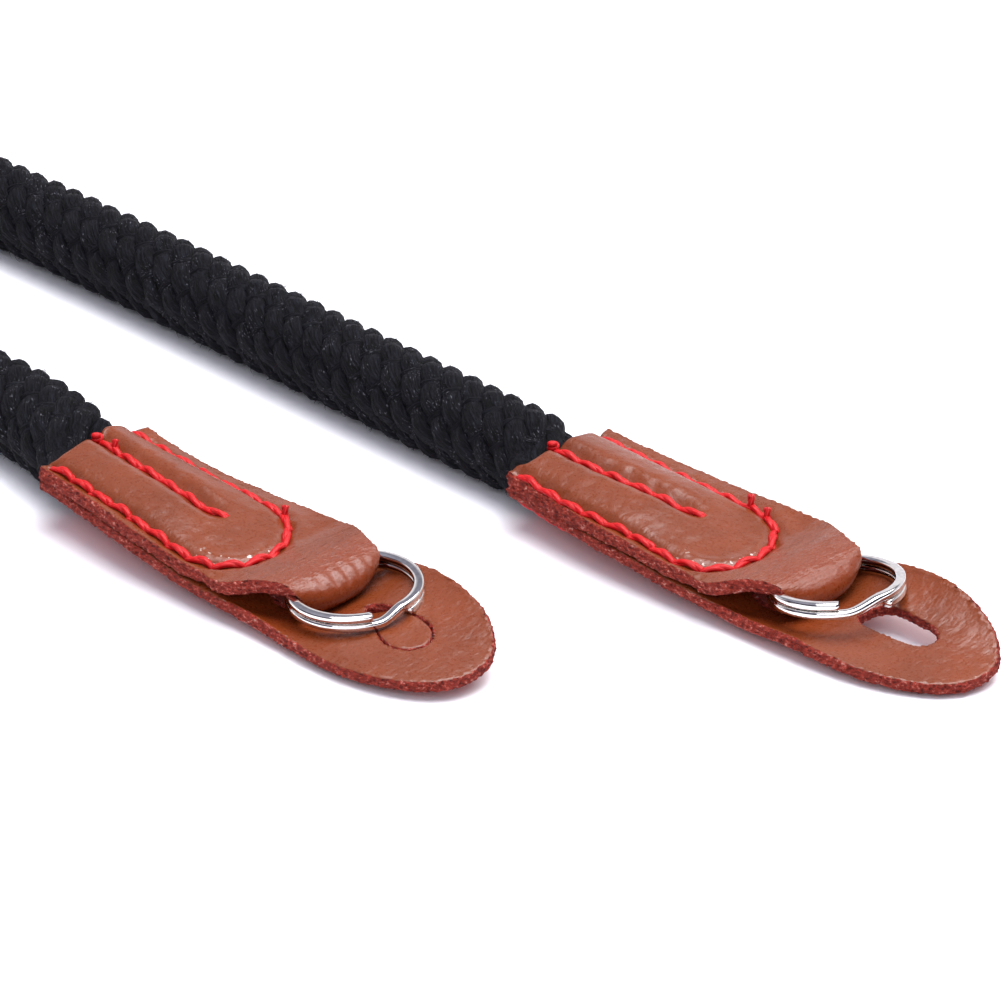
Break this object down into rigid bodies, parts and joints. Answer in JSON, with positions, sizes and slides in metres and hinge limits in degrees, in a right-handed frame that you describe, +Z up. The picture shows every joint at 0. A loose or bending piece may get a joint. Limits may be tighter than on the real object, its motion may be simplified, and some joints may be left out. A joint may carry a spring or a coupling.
{
  "type": "camera shoulder strap",
  "caption": "Thick braided rope camera strap with stitched brown leather ends, split rings and long leather protector flaps.",
  "frame": {"origin": "on the surface that the strap lies on, below the middle of the two leather ends", "axes": "+X along the leather ends towards their tips, +Y from the near end b to the far end a, +Z up"},
  "size_m": [0.4378, 0.0735, 0.0114],
  "materials": {
    "rope": "matt black braided cotton yarn, fuzzy",
    "leather": "satin pebbled leather with raw reddish cut edges",
    "ring": "bright nickel-plated spring steel"
  },
  "bodies": {
    "root": {"rope": "rope", "tab_a": "leather", "tab_b": "leather", "protector_a": "leather", "protector_b": "leather", "ring_a": "ring", "ring_b": "ring"}
  },
  "joints": []
}
